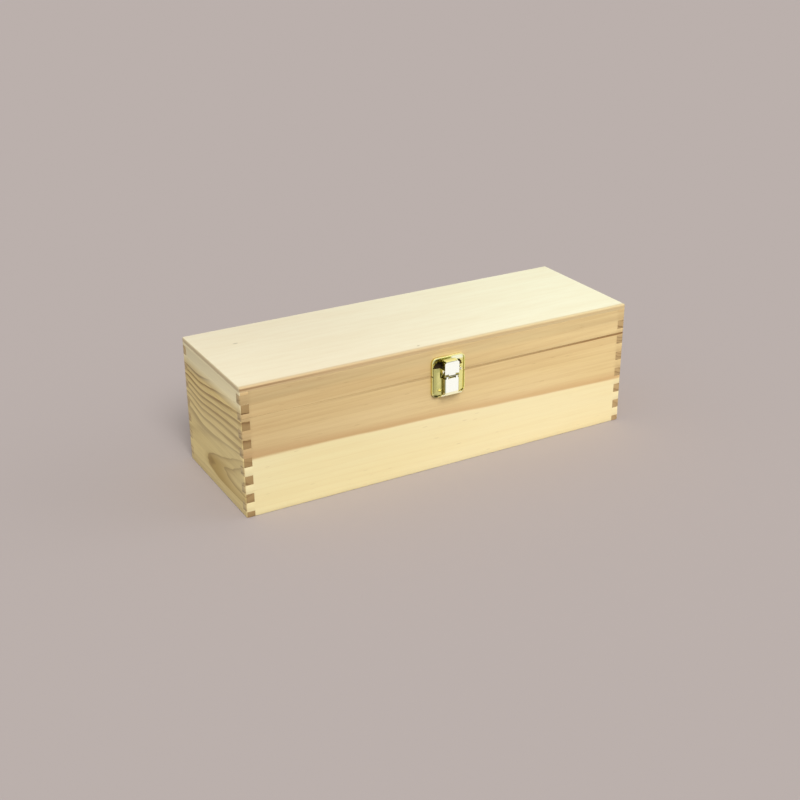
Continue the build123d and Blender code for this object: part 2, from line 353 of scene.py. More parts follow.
def srgb(*levels):
    """A colour as it looks on the screen, 0 to 255, to the light that makes it."""
    return tuple(v / 255 / 12.92 if v <= 10 else ((v / 255 + 0.055) / 1.055) ** 2.4
                 for v in levels)


# ---------------------------------------------------------------- timber
def timber(name, along, rings, tones, seed, line=0.5, tint=None):
    """Sawn pine. rings(paint, x, y, z) gives the distance from the pith in ring widths and a
    share of sapwood; the fibres run along the given axis, and faces across it show end grain."""
    p = Paint(name)
    millimetre = p.millimetres()
    x, y, z = p.split(millimetre)

    def drawn_out(share, shift=(0, 0, 0)):
        factors = [share if axis == along else 1.0 for axis in range(3)]
        return p.stretched(millimetre, factors, shift)

    fibre = drawn_out(0.03, (seed * 7.3, seed * 3.1, seed * 5.7))
    band = drawn_out(0.12, (seed * 2.3, seed * 9.1, seed * 4.7))
    drift = p.noise(band, 0.045, 3.0, 0.55)
    ring, sap, strength = rings(p, x, y, z, drift)
    fibres = p.noise(fibre, 1.4, 3.0, 0.6)
    bands = p.noise(fibre, 0.22, 3.0, 0.6)
    patches = p.noise(band, 0.03, 2.0, 0.5)
    # Latewood darkens slowly through a year's ring and stops short at its end
    turn = ring.fraction()
    late = (turn ** 4) * turn.rise(1.0, 0.93) * strength
    per_ring = p.node("TexWhiteNoise", {"noise_dimensions": "1D"},
                      {"W": ring.maths("FLOOR", ring) + seed})
    late = late * (0.7 + 0.5 * per_ring) * (0.7 + 0.6 * bands)
    colour = p.blend(sap, srgb(*tones["heart"]), srgb(*tones["sap"]))
    dark = p.blend(sap, srgb(*tones["heart_late"]), srgb(*tones["sap_late"]))
    colour = p.blend((late * line).least(1.0), colour, dark)
    # Broad warm and pale patches, then streaks of the fibres
    colour = p.blend(bands.rise(0.35, 0.75) * 0.35, colour, dark)
    pale = p.blend(sap, srgb(*tones["pale"]), srgb(*tones["sap_pale"]))
    colour = p.blend(patches.rise(0.4, 0.7) * 0.6, colour, pale)
    colour = p.blend(fibres.rise(0.5, 0.8) * 0.28, colour, dark)
    if tint:
        colour = tint(p, colour, x, y, z, drift)
    # Resin ducts: short fine dashes along the grain
    ducts = p.node("TexVoronoi", {"feature": "F1"},
                   {"Vector": drawn_out(0.12), "Scale": 0.42, "Randomness": 1.0})
    duct = ducts.rise(0.16, 0.08) * bands.rise(0.45, 0.6)
    colour = p.blend(duct * 0.22, colour, srgb(*tones["duct"]))
    # End grain drinks light: darker, with the rings close and the fibres as dots
    across = abs(p.split(p.facing)[along]).rise(0.55, 0.85)
    dots = p.noise(millimetre, 3.0, 2.0, 0.6)
    end = p.blend((late * 1.6).least(1.0), srgb(*tones["end"]), srgb(*tones["end_late"]))
    end = p.blend(dots.rise(0.45, 0.75) * 0.4, end, srgb(*tones["end_late"]))
    # The sliver of finger under the lid's panel is as pale as the board beside it
    end = p.blend(z.rise(FRAME_TOP - 2.8, FRAME_TOP - 2.4), end, srgb(212, 182, 130))
    colour = p.blend(across, colour, end)
    if along == 0:
        # Painted shade: the wood is darkened a little more towards the left, most of all the
        # heartwood
        painted_left_shade = p.blend(sap, (0.79, 0.77, 0.78), (0.906, 0.927, 0.927))
        colour = p.blend(x.rise(150, -220), colour, painted_left_shade, "MULTIPLY")
    height = fibres * 0.5 + late * 0.4 - duct * 0.5 + across * dots * 0.8
    return p.set(Base_Color=colour, Roughness=0.5 + 0.12 * fibres - 0.08 * late,
                 Specular_IOR_Level=0.35, Normal=p.bump(height, 0.00006, 0.7))


PINE = {"heart": (229, 202, 145), "heart_late": (200, 162, 108), "sap": (243, 226, 174),
        "sap_late": (234, 210, 152), "pale": (237, 213, 160), "sap_pale": (244, 231, 186),
        "duct": (150, 108, 64), "end": (222, 196, 142), "end_late": (184, 152, 100)}


# The front: the sapwood's edge falls to the right, and wavers by this much
SAP_FALL, SAP_DRIFT = 0.0235, 5
# The left end: the V's level, its rise towards the front and its tip, how deep the heart lies, how
# fast the V opens, how much it wavers, its outline's distance from the heart, the clear stretch
V_LOW, V_RISE, V_TIP = 17.5, 0.15, 19
V_DEPTH, V_OPENING, V_DRIFT, V_EDGE, V_CLEAR = 900, 4.9, 6, 30, 12


def front_rings(p, x, y, z, drift):
    """Rings round a pith high above the board; the sapwood starts part of the way down it."""
    pith_y, pith_z, sap_from = -15, 190, 151.1
    lean = z.rise(52, 96) * 0.06
    level = z + (SAP_FALL - lean) * x + (drift - 0.5) * SAP_DRIFT + (-50 - x).most(0) * 0.013
    reach = ((pith_z - level) * (pith_z - level) + (y - pith_y) * (y - pith_y)).root()
    return reach / 5.2, reach.rise(sap_from - 1.5, sap_from + 1.3), 1.0


def left_rings(p, x, y, z, drift):
    """Rings that the end board's face cuts at a slant: a long V low down, then a clear stretch,
    then fine level lines that close up towards the back."""
    above = (z + V_RISE * y).rise(39, 48)
    centre = V_LOW + V_RISE * (V_TIP - y) * (1 - 0.8 * above)
    slant = V_DEPTH + V_OPENING * (y - V_TIP) * (1 - above) + (x + LENGTH / 2) * 8
    reach = ((z - centre) * (z - centre) + slant).root() + (drift - 0.5) * V_DRIFT
    reach = reach - y.rise(20, 62) * above * 5
    spread = 5.6 - 0.018 * y
    ring = (reach.least(V_EDGE) / 3.1 + 10 / 31 + (reach - V_EDGE).most(0).least(V_CLEAR) / V_CLEAR
            + (reach - (V_EDGE + V_CLEAR)).most(0) / spread)
    # On the sawn seam the rings lie nearly flat and run into one another
    flat = 1 - abs(p.split(p.facing)[2]).rise(0.6, 0.95) * 0.85
    strength = z.rise(98, 84) * (0.4 + 0.6 * (reach - V_EDGE).rise(-1, 4))
    return ring, z * 0, flat * strength * 0.9 + 0.1


def plain_rings(pith_y, pith_z, sap_from):
    """Even rings round a pith, for a board that the photo doesn't show."""
    def rings(p, x, y, z, drift):
        level_y, level_z = y - pith_y + 0.012 * x, z - pith_z + (drift - 0.5) * 7
        reach = (level_y * level_y + level_z * level_z).root()
        return reach / 4.6, reach.rise(sap_from - 1.5, sap_from + 1.5), 1.0
    return rings


def cross_rings(p, x, y, z, drift):
    """The right end board: level rings with a slow bend, wider towards the bottom."""
    reach = ((z + 40) * (z + 40) + (x - 130) * (x - 130)).root()
    reach = reach + (drift - 0.5) * 14 + 0.04 * y + y * y / 900
    return reach / (5.4 + z.rise(90, 10) * 3.0), z * 0, z.rise(-20, 60) * 0.6 + 0.4


def front_tint(p, colour, x, y, z, drift):
    """The heartwood is a little redder just above the sapwood."""
    level = z + SAP_FALL * x + (drift - 0.5) * SAP_DRIFT
    edge = level.rise(44.8, 46.6) * level.rise(55, 46.5)
    colour = p.blend(edge * 0.55, colour, srgb(204, 160, 108))
    # Close to the corners the heartwood is a little darker
    colour = p.blend(abs(x).rise(170, 175) * level.rise(40, 55) * 0.2, colour, srgb(176, 142, 96))
    # The lid's upper half is a shade darker
    colour = p.blend(z.rise(93, 99), colour, (0.9, 0.9, 0.9), "MULTIPLY")
    # Painted shade darkens the body's edge under the lid, most of all to the right
    cut = (abs(z - SEAM + 0.75).rise(1.0, 0.45) * ((x + 150) / 300).most(0.02).least(1)
           * y.rise(FRONT + 1.6, FRONT + 0.6))
    colour = p.blend(cut * 0.82, colour, srgb(128, 84, 34))
    # Painted shade darkens the pocket behind the keeper
    middle, reach = (WINDOW_LOW + WINDOW_HIGH) / 2, (WINDOW_HIGH - WINDOW_LOW) / 2
    deep = FRONT + POCKET_DEPTH
    pocket = (y.rise(FRONT + 0.3, FRONT + 0.6) * y.rise(deep + 0.6, deep + 0.3)
              * abs(x).rise(WINDOW_OUTER + 0.4, WINDOW_OUTER + 0.2)
              * abs(z - SEAM - middle).rise(reach + 0.4, reach + 0.2))
    return p.blend(pocket * 0.95, colour, srgb(58, 43, 24))


def left_tint(p, colour, x, y, z, drift):
    """The slanting cut shows brown heartwood inside the V, most of all along its lower side."""
    drop = z - V_LOW - V_RISE * (V_TIP - y)
    reach = (drop * drop + V_DEPTH + V_OPENING * (y - V_TIP)).root() + (drift - 0.5) * V_DRIFT
    inside = V_EDGE - reach
    heart = inside.rise(-0.8, 0.8) * inside.rise(6.0, 1.0) * (1 - drop.rise(2, 8) * 0.7)
    colour = p.blend(z.rise(60, 34) * 0.3, colour, srgb(226, 210, 154))
    colour = p.blend(heart * (0.35 + y.rise(-50, 0) * 0.3), colour, srgb(170, 130, 30))
    apex = (abs(drop) + abs(y - 12) * 0.45).rise(6.5, 1.5)
    colour = p.blend(apex * inside.rise(-0.5, 1.5) * 0.6, colour, srgb(118, 80, 20))
    return p.blend(z.rise(86, 98) * 0.75, colour, srgb(246, 236, 198))


END_PINE = dict(PINE, heart=(238, 212, 142), heart_late=(142, 98, 30), pale=(238, 218, 160),
                end=(166, 137, 91), end_late=(124, 93, 54))

RIGHT_PINE = dict(END_PINE, heart_late=(204, 166, 104), end=(190, 160, 112),
                  end_late=(150, 118, 74))

front_pine = timber("pine_front", 0, front_rings, PINE, 1, tint=front_tint, line=0.35)
left_pine = timber("pine_left_end", 1, left_rings, END_PINE, 2, tint=left_tint, line=3.0)
back_pine = timber("pine_back", 0, plain_rings(20, 150, 128), PINE, 3)
right_pine = timber("pine_right_end", 1, cross_rings, RIGHT_PINE, 4, line=0.8)


def plywood(name, seed, low):
    """Three-ply with pale poplar faces, from a height up; the plies show on the edges."""
    p = Paint(name)
    millimetre = p.millimetres()
    x, y, z = p.split(millimetre)
    grain = p.stretched(millimetre, (0.03, 1, 1), (seed * 4.1, seed * 2.7, 0))
    slow = p.stretched(millimetre, (0.18, 1, 1), (seed * 1.1, seed * 3.7, 0))
    fibres = p.noise(grain, 1.6, 3.0, 0.6)
    bands = p.noise(slow, 0.07, 3.0, 0.6)
    waves = ((y + (bands - 0.5) * 26 + 0.01 * x) / 9).fraction()
    figure = (waves ** 3) * waves.rise(1.0, 0.85)
    colour = p.blend(bands.rise(0.3, 0.7) * 0.5, srgb(250, 246, 213), srgb(245, 237, 200))
    colour = p.blend(figure * 0.22, colour, srgb(237, 224, 184))
    colour = p.blend(fibres.rise(0.5, 0.8) * 0.25, colour, srgb(234, 220, 178))
    # The edge: face, core and back plies with glue lines between
    level = z - low
    core = level.rise(1.25, 1.35) * level.rise(2.75, 2.65)
    glue = abs(level - 1.3).rise(0.14, 0.05).most(abs(level - 2.7).rise(0.14, 0.05))
    _, normal_y, normal_z = p.split(p.facing)
    # The rounded top edge takes the edges' tone too: partly the plies it exposes, partly painted
    # shade over its highlight
    side = abs(normal_z).rise(0.96, 0.6)
    front_like = abs(normal_y).rise(0.4, 0.7)
    dots = p.noise(millimetre, 2.5, 2.0, 0.6)
    core_tone = p.blend(front_like, srgb(226, 210, 164), srgb(210, 184, 136))
    core_tone = p.blend(dots.rise(0.4, 0.7) * 0.3, core_tone, srgb(192, 160, 114))
    core_tone = p.blend(x.rise(-80, -176) * front_like * 0.6, core_tone, srgb(150, 116, 74))
    face_tone = p.blend(front_like, srgb(228, 216, 172), srgb(216, 193, 144))
    edge = p.blend(core, face_tone, core_tone)
    edge = p.blend(glue * (0.1 + 0.4 * x.rise(-60, -175) * front_like), edge, srgb(146, 112, 70))
    # Handling has toned the front margin of the face down
    colour = p.blend(y.rise(FRONT + 4.6, FRONT + 0.4) * 0.9, colour, srgb(218, 194, 142))
    colour = p.blend(side, colour, edge)
    # Two small knocks on the lid
    for mark_x, mark_y, length in ((-147.9, 24.3, 2.4), (-23.3, -53.6, 1.5)):
        across, along = (y - mark_y) / 0.9, (x - mark_x) / length
        mark = (across * across + along * along).rise(1.3, 0.3) * z.rise(TOP - 1, TOP - 0.5)
        colour = p.blend(mark * 0.5, colour, srgb(150, 136, 96))
    # Painted shade: the panel is darkened towards the left
    colour = p.blend(x.rise(170, -120), colour, (0.885, 0.828, 0.83), "MULTIPLY")
    height = fibres * 0.6 + figure * 0.3 - side * glue * 0.8
    return p.set(Base_Color=colour, Roughness=0.48 + 0.12 * fibres, Specular_IOR_Level=0.35,
                 Normal=p.bump(height, 0.00004, 0.6))


top_ply = plywood("plywood_top", 1, TOP - PANEL)
bottom_ply = plywood("plywood_bottom", 2, 0)


# ---------------------------------------------------------------- brass
def wear_and_painted_light(p, millimetre, tone, matt, glare_tone):
    """Wear on the catch, and painted light and shade on it: its colour, metal and roughness."""
    x, y, z = p.split(millimetre)
    right, back, up = p.split(p.facing)
    level = z - SEAM
    # Painted reflection: what stands foremost is painted near white and made glossy
    foremost = y.rise(FRONT - 7.3, FRONT - 7.8) * back.rise(-0.7, -0.95)
    front_glare = foremost * abs(level - 0.2).rise(0.4, 0.6) * level.rise(-14.2, -13.8)
    tone = p.blend(front_glare, tone, srgb(*glare_tone))
    # Painted highlight: the rolled lip is lightened to cream
    lip = y.rise(FRONT - 6, FRONT - 6.4) * level.rise(-13.8, -14.2)
    tone = p.blend(lip * 0.9, tone, srgb(255, 246, 208))
    # Painted shade darkens the joint between lever and hook
    joint = y.rise(FRONT - 5, FRONT - 5.6) * abs(level - 0.2).rise(0.6, 0.4)
    tone = p.blend(joint * 0.9, tone, srgb(96, 90, 64))
    # Painted shadow darkens the tray's lower left corner, under the lever's wing
    painted_corner_shadow = abs(x + 12.5).rise(4, 1.5) * level.rise(-15.5, -17.8)
    tone = p.blend(painted_corner_shadow * 0.8, tone, srgb(96, 84, 44))
    # Painted reflection: the keeper is painted near white where the hook sits; the hook's top edge
    # is a little greener
    keeper_glare = level.rise(9.5, 11.5) * x.rise(-5, 3) * y.rise(FRONT - 1.6, FRONT - 1.2)
    tone = p.blend(keeper_glare * 0.8, tone, srgb(255, 254, 224))
    edge = (level.rise(10.8, 11.6) * y.rise(FRONT - 1.2, FRONT - 1.8)
            * y.rise(FRONT - 8, FRONT - 7.4))
    tone = p.blend(edge * 0.8, tone, srgb(238, 243, 184))
    # Painted shade darkens the lever's flanks to a dull olive
    flank_shade = (y.rise(FRONT - 3.4, FRONT - 4.4) * abs(abs(x) - 6.9).rise(1.0, 0.7)
             * level.rise(0, -1.5))
    tone = p.blend(flank_shade * (1 - front_glare) * (1 - lip) * 0.75, tone, srgb(146, 144, 98))
    # Painted sheen: towards the right the plates are lightened to a yellow shine, also inside the
    # rim
    right_sheen = x.rise(6.9, 13) * (1 - front_glare) * (1 - keeper_glare)
    tone = p.blend(right_sheen * 0.5, tone, srgb(246, 232, 146))
    inside = right.rise(-0.6, -0.9) * x.rise(13.8, 14.4)
    tone = p.blend(inside, tone, srgb(255, 248, 170))
    # The hook's upper face has lost its shine
    dull = up.rise(0.6, 0.9) * level.rise(11.6, 12.4) * y.rise(FRONT - 1, FRONT - 1.6)
    tone = p.blend(dull, tone, srgb(248, 238, 160))
    matt = matt - front_glare * (matt - 0.11) + joint * 0.2 + inside * 0.5 + dull * 0.3
    return tone, 1 - dull * 0.7, matt


def brass(name, colour, rough, wear, glare_tone=None):
    """Brass plate, dulled in clouds and finely scuffed; on the catch also marked by use and given
    painted light and shade.
    """
    p = Paint(name)
    millimetre = p.millimetres()
    cloud = p.noise(millimetre, 0.25, 3.0, 0.6)
    fine = p.noise(millimetre, 1.8, 3.0, 0.65)
    scratch = p.noise(p.stretched(millimetre, (0.1, 1, 1)), 6.0, 2.0, 0.7)
    tone = p.blend(cloud.rise(0.3, 0.7) * 0.5, srgb(*colour), srgb(*[c * 0.9 for c in colour]))
    tone = p.blend(fine.rise(0.55, 0.8) * wear, tone, srgb(150, 112, 52))
    metal, matt = 1.0, rough + 0.10 * cloud + 0.14 * fine.rise(0.4, 0.8)
    if glare_tone:
        tone, metal, matt = wear_and_painted_light(p, millimetre, tone, matt, glare_tone)
    height = fine * 0.5 + scratch * 0.5
    return p.set(Base_Color=tone, Metallic=metal, Roughness=matt,
                 Normal=p.bump(height, 0.00002, 0.4))


brass_plate = brass("brass_plate", (227, 217, 143), 0.15, 0.10, (253, 251, 240))
brass_nail = brass("brass_nail", (226, 200, 124), 0.28, 0.35)


# ---------------------------------------------------------------- boards
def spans(first, low, high):
    """Heights of every other corner finger between two levels."""
    found, bottom = [], first
    while bottom > low:
        bottom -= 2 * FINGER
    while bottom < high:
        span = (max(bottom, low), min(bottom + FINGER, high))
        if span[1] > span[0]:
            found.append(span)
        bottom += 2 * FINGER
    return found


# The seam closes up towards the left: by half at SHUT_MIDDLE, in full from SHUT_LEFT on. SHUT says
# how far the body's edge rises there, and how far the lid's sinks
SHUT_LEFT, SHUT_MIDDLE = -100, 30
SHUT = {"body": 0.17, "lid": -0.09}
BASE_ROUND, SEAM_ROUND, TOP_ROUND = 0.5, 0.3, 1.2


def board(body, low, high, first, place, along, side, material):
    """One upright board: a plank cut at its finger heights, with every other end drawn out by the
    wall. It runs along axis 0 or 1; u is measured along it, w across it."""
    half = (LENGTH, WIDTH)[along] / 2
    face = side * (WIDTH, LENGTH)[along] / 2
    inner = face - side * WALL
    shoulder = half - WALL

    def turned(u, w, z):
        return (w, u, z) if along else (u, w, z)

    def u_of(c):
        return c[along]

    def w_of(c):
        return c[1 - along]

    p = block(f"{place}_board_{body}", turned(-shoulder, min(face, inner), low),
              turned(shoulder, max(face, inner), high))
    fingers = spans(first, low, high)
    for level in sorted({level for span in fingers for level in span} - {low, high}):
        p.cut((0, 0, level), (0, 0, 1))
    if body == "body":
        # The bottom panel's rebate stops just short of the fingers
        p.cut((0, 0, PANEL), (0, 0, 1))
        p.cut(turned(0, inner + side * REBATE, 0), turned(0, 1, 0))
        for end in (-1, 1):
            p.cut(turned(end * (shoulder - 0.1), 0, 0), turned(1, 0, 0))
    if place == "front":
        for u in (SHUT_LEFT, SHUT_MIDDLE):
            p.cut((u, 0, 0), (1, 0, 0))
    for end in (-1, 1):
        p.pick("FACE", lambda c, n: n[along] * end > 0.9
               and any(a < c.z < b for a, b in fingers)).extrude(turned(end * WALL, 0, 0))
    if body == "body":
        p.pick("VERT", lambda c: c.z < 0.01 and near(w_of(c), inner, 0.01)
               and abs(u_of(c)) < shoulder - 0.05)
        p.move(turned(0, side * REBATE, PANEL))
    # Outer corners, then the eased edges at the base and at the seam
    p.edges(lambda c: near(w_of(c), face, 0.01) and near(abs(u_of(c)), half, 0.01),
            lambda a, b: abs(a.z - b.z) > 0.01).round(CORNER_ROUND, 5)

    def on_face(c):
        return abs(w_of(c) - face) < CORNER_ROUND + 0.05

    def at_end(c):
        return abs(u_of(c)) > half - CORNER_ROUND - 0.05

    def on_outline(a, b):
        return (on_face(a) and on_face(b)) or (at_end(a) and at_end(b))

    seam_level = high if body == "body" else low
    if body == "body":
        p.edges(lambda c: near(c.z, 0, 0.01), on_outline).round(BASE_ROUND, 2)
    p.edges(lambda c: near(c.z, seam_level, 0.01), on_outline).round(SEAM_ROUND, 2)
    p.ease(EASE)
    if side < 0:
        shut = SHUT[body]
        p.pick("VERT", lambda c: near(c.z, seam_level, 0.35) and near(c.x, SHUT_MIDDLE, 10))
        p.move((0, 0, shut / 2))
        p.pick("VERT", lambda c: near(c.z, seam_level, 0.35) and c.x < SHUT_LEFT + 5)
        p.move((0, 0, shut))
        # The lower row of the rounded edge follows
        p.pick("VERT", lambda c: 0.2 < abs(c.z - seam_level - shut) < 0.45 and c.x < SHUT_LEFT + 5)
        p.move((0, 0, math.copysign(0.18, shut)))
    if (place, body) == ("front", "lid"):
        p.rest()
        p.subtract(block("pocket", (-WINDOW_OUTER, FRONT - 1, SEAM + WINDOW_LOW),
                         (WINDOW_OUTER, FRONT + POCKET_DEPTH, SEAM + WINDOW_HIGH)))
    node = f"{body}_{place}_{'wall' if body == 'body' else 'rail'}"
    return p.done(material, body, "end_boards" if along else "front_boards", [node])


SIDES = (("front", 0, -1, front_pine), ("back", 0, 1, back_pine),
         ("left", 1, -1, left_pine), ("right", 1, 1, right_pine))
for body, low, high, first in (("body", 0, BODY_TOP, FIRST_FINGER),
                               ("lid", LID_LOW, FRAME_TOP, FIRST_FINGER - LID_DROP)):
    for place, along, side, pine in SIDES:
        # The end boards' fingers fill the gaps of the front's and the back's
        board(body, low, high, first - along * FINGER, place, along, side, pine)

top = block("top_panel", (-LENGTH / 2, FRONT, FRAME_TOP), (LENGTH / 2, BACK, TOP))
top.pick("EDGE", lambda a, b: abs(a.z - b.z) > 1).round(CORNER_ROUND, 5)
top.edges(lambda c: c.z > TOP - 0.01).round(TOP_ROUND, 4)
top.ease(0.1)
top.done(top_ply, "lid", "plywood", ["lid_top_panel"])

inset = WALL - REBATE + 0.1
bottom = block("bottom_panel_ply", (inset - LENGTH / 2, FRONT + inset, 0.05),
               (LENGTH / 2 - inset, BACK - inset, PANEL))
bottom.ease(0.12)
bottom.done(bottom_ply, "body", "plywood", ["bottom_panel"])

# ---------------------------------------------------------------- catch: fixed pieces
# Distances from the middle along x, out from the front, and up from the seam
CATCH_HALF, CATCH_CORNER, RIM = 15.5, 4.5, 2.5
BASE_DROP, KEEPER_RISE = 19, 15.3
EAR_INSIDE, EAR_THICK, EAR_ROUND = 7.0, 0.7, 1.1
PIVOT_OUT, PIVOT_UP = 6.9, 5
LEDGE_OUT = 4.2
FRONT_OUT = 7.6                      # the middle of the lever's and the hook's plates


def tray(name, side, reach):
    """Pressed plate with a rim round it, drawn longer than it is and then cut off at the seam."""
    ends = sorted((side * reach, -side * 3))
    p = block(name, (-CATCH_HALF, FRONT - RIM, SEAM + ends[0]), (CATCH_HALF, FRONT, SEAM + ends[1]))
    far = SEAM + side * reach
    p.edges(lambda c: near(c.z, far), lambda a, b: abs(a.y - b.y) > 1).round(CATCH_CORNER, 8)
    p.pick("FACE", lambda c, n: n.y < -0.9)
    bpy.ops.mesh.inset(thickness=PLATE)
    p.extrude((0, RIM - PLATE, 0))
    bpy.ops.mesh.select_all(action="SELECT")
    bpy.ops.mesh.bisect(plane_co=(0, 0, SEAM + side * 0.4), plane_no=(0, 0, side), use_fill=True,
                        clear_inner=True)
    return p


base = tray("catch_base_tray", -1, BASE_DROP)
base.ease(EASE, 3, 40).rest()
arc = [(PIVOT_OUT + EAR_ROUND * math.cos(t * math.pi / 8),
        PIVOT_UP + EAR_ROUND * math.sin(t * math.pi / 8)) for t in range(9)]
ear_outline = [(0.4, -9), (2.2, -9), (2.2, -1.6)] + arc + [(1.4, 0.4), (0.4, -0.8)]
ears = []
for x in (EAR_INSIDE, -EAR_INSIDE - EAR_THICK):
    ear = cutout("ear", [(x, FRONT - out, SEAM + up) for out, up in ear_outline],
                 (EAR_THICK, 0, 0))
    ears.append(ear.ease(0.1, 2, 40).rest())
base = join([base] + ears, "catch_base_tray")
base.done(brass_plate, "body", "brass_plate", ["catch_base"])

keeper = tray("catch_keeper_tray", 1, KEEPER_RISE)
for side in (-1, 1):
    keeper.rest()
    left, right = sorted((side * WINDOW_INNER, side * WINDOW_OUTER))
    window = block("window", (left, FRONT - 2, SEAM + WINDOW_LOW),
                   (right, FRONT + 1, SEAM + WINDOW_HIGH))
    window.edges(lambda c: near(c.x, side * WINDOW_OUTER) and near(c.z, SEAM + WINDOW_HIGH))
    window.round(4, 8)
    window.edges(lambda c: near(c.z, SEAM + WINDOW_LOW), lambda a, b: abs(a.y - b.y) > 1)
    window.round(0.8, 3)
    keeper.subtract(window)
keeper.ease(EASE, 3, 40).rest()
ledge = block("ledge", (-4.2, FRONT - LEDGE_OUT, SEAM + 10.6), (4.2, FRONT - 0.5, SEAM + 11.9))
ledge.edges(lambda c: near(c.y, FRONT - LEDGE_OUT)).round(0.5, 4)
ledge.ease(0.12).rest()
keeper = join([keeper, ledge], "catch_keeper_tray")
keeper.done(brass_plate, "lid", "brass_plate", ["catch_keeper"])

# ---------------------------------------------------------------- catch: moving pieces
KNUCKLE = 1.1
JOINT, SLOPE = 1.45, 0.35            # half the joint behind, and how much wider it is in front
LEVER_HALF, LEVER_LOW, LEVER_HIGH = 6.3, -16.3, -2
FLANK_FOOT, WING_END = 7.2, 13.95
CHEEK, ARM_TOP = 8.3, 6.6            # where the arms beside the hook bend forward, and their top
SLOT_INSIDE, SLOT_OUTSIDE, SLOT_END = 3.1, 3.5, -2.4
STRIP_OUTSIDE = 5.3                  # beyond the slots, two strips reach up to the knuckles
HOOK_HALF, HOOK_LOW, HOOK_HIGH = 6.7, 2, 11.8
TONGUE_HALF, HOOK_SLOT = 3.3, 3.7    # the hook's tongue to its knuckle, and the slots beside it
FLANGE_HALF, FLANGE_RISE = 5.5, 0.8


def between(low, high):
    """A test for points whose distance from the middle lies between two."""
    return lambda c: low < abs(c.x) < high


def pressed(piece, slope):
    """Gives a folded sheet its thickness and slopes its edges at the joint."""
    piece.outward()
    piece.modify("SOLIDIFY", thickness=PLATE, offset=0, use_even_offset=True)
    piece.edges(lambda c: near(c.z, SEAM + math.copysign(JOINT, slope)) and c.y < FRONT - FRONT_OUT)
    piece.move((0, 0, slope))
    return piece.ease(0.16, 2, 40).rest()


lever = sheet("catch_lever_pressing", (-LEVER_HALF, LEVER_LOW), (LEVER_HALF, LEVER_HIGH),
              FRONT - FRONT_OUT)
for side in (-1, 1):
    lever.edges(lambda c: near(c.x, side * LEVER_HALF))
    lever.extrude((side * (FLANK_FOOT - LEVER_HALF), 4.5, 0))
    lever.extrude((side * (WING_END - FLANK_FOOT), 1.4, 0))
lever.upright_cuts(CHEEK, STRIP_OUTSIDE, SLOT_OUTSIDE, SLOT_INSIDE)


def lever_top(low, high, reach):
    """Draws the lever's top edge out, between two distances from the middle."""
    strip = between(low, high)
    lever.edges(lambda c: near(c.z, SEAM + LEVER_HIGH) and strip(c),
                lambda a, b: low < 0 or a.x * b.x > 0).extrude((0, 0, reach))


lever_top(CHEEK - 0.1, WING_END + 0.1, ARM_TOP - LEVER_HIGH)
lever_top(SLOT_OUTSIDE - 0.1, STRIP_OUTSIDE + 0.1, 1.8)
lever_top(-1, SLOT_INSIDE + 0.1, -JOINT - LEVER_HIGH)
lever.cut((0, 0, SEAM + 3.2), (0, 0, 1))
lever.edges(lambda c: near(abs(c.x), CHEEK) and c.z > SEAM + 3.1).extrude((0, -5.0, 0))
lever.soften_corners(1.0, lambda c: near(abs(c.x), WING_END) and near(c.z, SEAM + ARM_TOP))
lever.soften_corners(2.4, lambda c: near(abs(c.x), WING_END) and near(c.z, SEAM + LEVER_LOW))
lever.soften_corners(1.2, lambda c: near(abs(c.x), CHEEK) and c.y < FRONT - 7)
for x, radius, segments in ((LEVER_HALF, 0.8, 4), (FLANK_FOOT, 0.5, 3)):
    lever.edges(lambda c: near(abs(c.x), x), lambda a, b: abs(a.z - b.z) > 3)
    lever.round(radius, segments)
# The slots beside the middle run a little deeper
slot = between(SLOT_INSIDE, SLOT_OUTSIDE)
lever.pick("FACE", lambda c, n: slot(c))
bpy.ops.mesh.bisect(plane_co=(0, 0, SEAM + SLOT_END), plane_no=(0, 0, 1))
lever.pick("FACE", lambda c, n: slot(c) and c.z > SEAM + SLOT_END)
bpy.ops.mesh.delete(type="FACE")
pressed(lever, -SLOPE)
lip = cross_bar("lip", 0.8, (-9.7, 9.7), 7.1, -15.9).ease(0.35, 4, 40).rest()
knuckles = [cross_bar("knuckle", KNUCKLE, (side * SLOT_OUTSIDE, side * 6.6), PIVOT_OUT, 0)
            .ease(0.15, 2, 40).rest() for side in (-1, 1)]
lever = join([lever, lip] + knuckles, "catch_lever_pressing")
lever.done(brass_plate, "catch_lever", "brass_plate", ["catch_lever"])

hook = sheet("catch_hook", (-HOOK_HALF, HOOK_LOW), (HOOK_HALF, HOOK_HIGH), FRONT - FRONT_OUT)
hook.upright_cuts(FLANGE_HALF, HOOK_SLOT, TONGUE_HALF)
hook.edges(lambda c: near(c.z, SEAM + HOOK_HIGH) and abs(c.x) < FLANGE_HALF + 0.1)
hook.extrude((0, 0, FLANGE_RISE)).extrude((0, 5.0, 0))
hook.edges(lambda c: near(c.z, SEAM + HOOK_LOW) and abs(c.x) < TONGUE_HALF + 0.1)
hook.extrude((0, 0, -1.8))
hook.edges(lambda c: near(c.z, SEAM + HOOK_LOW) and abs(c.x) > HOOK_SLOT - 0.1)
hook.extrude((0, 0, JOINT - HOOK_LOW))
hook.soften_corners(0.8, lambda c: near(abs(c.x), HOOK_HALF) and near(c.z, SEAM + HOOK_HIGH))
hook.soften_corners(0.4, lambda c: near(abs(c.x), HOOK_HALF) and near(c.z, SEAM + JOINT))
hook.soften_corners(0.8, lambda c: near(abs(c.x), FLANGE_HALF) and c.y > FRONT - 3)
hook.edges(lambda c: near(c.z, SEAM + HOOK_HIGH + FLANGE_RISE) and near(c.y, FRONT - FRONT_OUT))
hook.round(0.6, 4)
pressed(hook, SLOPE)
knuckle = cross_bar("knuckle", KNUCKLE, (-TONGUE_HALF, TONGUE_HALF), PIVOT_OUT, 0)
knuckle.ease(0.15, 2, 40).rest()
hook = join([hook, knuckle], "catch_hook")
hook.done(brass_plate, "catch_hook", "brass_plate", ["catch_hook_plate"])

